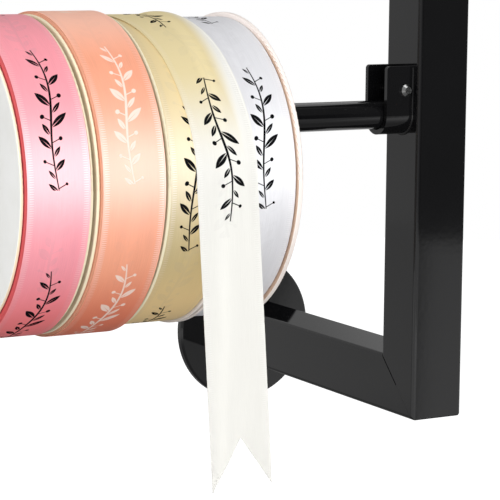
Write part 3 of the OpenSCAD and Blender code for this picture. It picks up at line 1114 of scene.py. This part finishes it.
class RACK_OT_set_stage(bpy.types.Operator):
    """Set the floor, the surrounding light and the lamps"""

    bl_idname = "ribbon_rack.set_stage"
    bl_label = "Set Stage"

    def execute(self, context):
        scene, settings = context.scene, context.scene.ribbon_rack.stage
        scene.view_settings.view_transform = "Standard"
        self.floor(settings)
        self.surround(scene, settings)
        key = self.lamp("Key softbox", (-0.3, -1.94, 0.12), SPOOLS, (1.4, 1.0), settings.key)
        fill = self.lamp("Side fill", (-2.1, -0.5, 0.5), SPOOLS, (1.2, 1.2), settings.fill)
        key.visible_glossy = fill.visible_glossy = False
        sheen = self.lamp("Sheen strip", (0.74, -1.74, 0.33), SPOOLS, (0.9, 1.3), settings.sheen)
        satins = [colour + "_outer_turn" for colour in COLOURS] + ["ribbon_end"]
        self.mirror_only(sheen, "Satin pieces", satins)
        unshaded = linked_pieces("Sheen passes", ("ribbon_end",))
        unshaded.collection_objects[0].light_linking.link_state = "EXCLUDE"
        for lamp in (key, sheen):
            lamp.light_linking.blocker_collection = unshaded
        for name, place, size, power, pieces in (
            ("Rod strip above", (0.44, 0.30, 0.86), (0.5, 0.75), settings.rod_line, RODS),
            ("Rod strip below", (0.146, 0.04, -0.17), (0.4, 0.4), 0.25 * settings.rod_line, RODS),
            ("Screw glint", (-0.13, -0.55, 1.05), (0.5, 0.5), settings.glint, FASTENERS),
        ):
            lamp = self.lamp(name, place, ROD_END, size, power)
            lamp.visible_camera = False
            self.mirror_only(lamp, name + " pieces", pieces)
        return {"FINISHED"}

    def lamp(self, name, place, target, size, power):
        """A soft lamp that is aimed at a point."""
        light = bpy.data.lights.new(name, "AREA")
        light.shape = "RECTANGLE"
        light.size, light.size_y = size
        light.energy = power
        lamp = bpy.data.objects.new(name, light)
        lamp.location = place
        lamp.rotation_euler = (Vector(target) - Vector(place)).to_track_quat("-Z", "Y").to_euler()
        bpy.context.scene.collection.objects.link(lamp)
        return lamp

    def mirror_only(self, lamp, name, pieces):
        """Lets a lamp show only as a reflection, and only on some pieces."""
        lamp.visible_diffuse = False
        lamp.light_linking.receiver_collection = linked_pieces(name, pieces)

    def rays(self, wiring):
        """1 for the camera's own rays, and 1 for rays from a glossy or clear surface."""
        path = wiring.add("ShaderNodeLightPath").outputs
        names = ("Is Camera Ray", "Is Glossy Ray", "Is Transmission Ray")
        camera, glossy, through = (Wire(wiring, path[name]) for name in names)
        return camera, wiring.math("MAXIMUM", glossy, through)

    def floor(self, settings):
        """A round floor, white to the camera, which glows for what mirrors it in light and dark
        parts: painted reflections.
        """
        mesh = bmesh.new()
        bmesh.ops.create_circle(mesh, cap_ends=True, segments=96, radius=settings.floor_radius)
        bmesh.ops.translate(mesh, vec=(*FLOOR_CENTRE, settings.floor), verts=mesh.verts)
        material, wiring, shader = new_material("Pale floor")
        spot = wiring.spot()
        cloud = wiring.noise(spot, 3.0, 3.0, 0.55)
        x, y, _ = wiring.split(spot)
        # Glow seen only in reflections, darker near the rack, with a dark strip in front and dimmer
        # behind: painted reflections
        away = wiring.math("SQRT", x * x + y * y)
        askew = x * 0.825 + y * 0.565
        strip = wiring.ramp(askew, -0.108, -0.126) * wiring.ramp(askew, -0.32, -0.26)
        before = strip * -0.46 + 0.67
        behind = wiring.ramp(away, 0.6, 1.4, 0.0, 0.28)
        mirrored = (behind - before) * wiring.ramp(y, -0.4, 0.8) + before
        mirrored = mirrored * wiring.ramp(away, 0.5, 1.3)
        camera, mirror = self.rays(wiring)
        wiring.set(
            shader,
            Base_Color=wiring.mix(cloud, (0.20, 0.20, 0.20), (0.23, 0.23, 0.23)),
            Emission_Color=(1, 1, 1, 1),
            Emission_Strength=camera * FLOOR_GLOW + mirror * mirrored,
            Roughness=0.9,
            Specular_IOR_Level=0.1,
        )
        new_object("floor", mesh, (material,))

    def surround(self, scene, settings):
        """Even light from all sides, white to the camera, with darker parts for what mirrors it."""
        world = bpy.data.worlds.new("Studio")
        world.use_nodes = True
        world.node_tree.nodes.clear()
        wiring = Wiring(world.node_tree)
        background = wiring.add("ShaderNodeBackground")
        output = wiring.add("ShaderNodeOutputWorld")
        wiring.feed(output.inputs["Surface"], Wire(wiring, background.outputs[0]))
        x, y, z = wiring.split(wiring.read("ShaderNodeTexCoord", "Generated"))
        dark = wiring.ramp(x * 0.62 + y * -0.78, 0.25, 0.6, 0.0, 0.235)
        strip = wiring.ramp(x, 0.36, 0.46) * wiring.ramp(x, 0.55, 0.50)
        strip = strip * wiring.ramp(z, 0.35, 0.2, 0.0, 0.13)
        mirrored = wiring.ramp(x, 0.2, -0.35, 0.34, 0.52) - dark - strip
        sky = wiring.ramp(z, -0.1, 0.9, 0.8 * settings.surround, 2.6 * settings.surround)
        camera, mirror = self.rays(wiring)
        direct = camera + (1.0 - camera) * sky
        strength = mirror * mirrored + (1.0 - mirror) * direct
        wiring.set(background.inputs, Color=(1, 1, 1, 1), Strength=strength)
        scene.world = world


class RACK_OT_set_camera(bpy.types.Operator):
    """Place the camera"""

    bl_idname = "ribbon_rack.set_camera"
    bl_label = "Set Camera"

    def execute(self, context):
        settings = context.scene.ribbon_rack.stage
        yaw, pitch, roll = settings.yaw, settings.pitch, settings.roll
        level = math.cos(pitch)
        ahead = Vector((math.sin(yaw) * level, math.cos(yaw) * level, -math.sin(pitch)))
        right = Vector((math.cos(yaw), -math.sin(yaw), 0.0))
        upward = right.cross(ahead)
        right, upward = (
            right * math.cos(roll) + upward * math.sin(roll),
            upward * math.cos(roll) - right * math.sin(roll),
        )
        camera = bpy.data.objects.new("Camera", bpy.data.cameras.new("Camera"))
        camera.data.lens = settings.lens
        camera.data.sensor_width = 36.0
        camera.data.clip_end = 50.0
        turn = Matrix((right, upward, -ahead)).transposed().to_4x4()
        camera.matrix_world = Matrix.Translation(settings.camera_place) @ turn
        context.scene.collection.objects.link(camera)
        context.scene.camera = camera
        return {"FINISHED"}


OPERATORS = (
    RACK_OT_set_camera,
    RACK_OT_paint_frame,
    RACK_OT_lay_welds,
    RACK_OT_finish_fasteners,
    RACK_OT_finish_spools,
    RACK_OT_wind_ribbons,
    RACK_OT_hang_tail,
    RACK_OT_set_stage,
)


class RACK_PT_panel(bpy.types.Panel):
    """Sidebar panel of the ribbon rack"""

    bl_idname = "RACK_PT_panel"
    bl_label = "Ribbon Rack"
    bl_space_type = "VIEW_3D"
    bl_region_type = "UI"
    bl_category = "Ribbon Rack"

    def draw(self, context):
        settings = context.scene.ribbon_rack
        for operator in OPERATORS:
            self.layout.operator(operator.bl_idname)
        for group in (settings.paint, settings.ribbon, settings.tail, settings.stage):
            box = self.layout.box()
            for key in group.bl_rna.properties.keys():
                if key not in ("rna_type", "name"):
                    box.prop(group, key)


SETTINGS = (PaintSettings, RibbonSettings, TailSettings, StageSettings, RackSettings)
CLASSES = (*SETTINGS, *OPERATORS, RACK_PT_panel)


def register():
    for item in CLASSES:
        bpy.utils.register_class(item)
    bpy.types.Scene.ribbon_rack = bpy.props.PointerProperty(type=RackSettings)


def unregister():
    del bpy.types.Scene.ribbon_rack
    for item in reversed(CLASSES):
        bpy.utils.unregister_class(item)


def main():
    register()
    for operator in OPERATORS:
        group, name = operator.bl_idname.split(".")
        getattr(getattr(bpy.ops, group), name)()


if __name__ == "__main__":
    main()
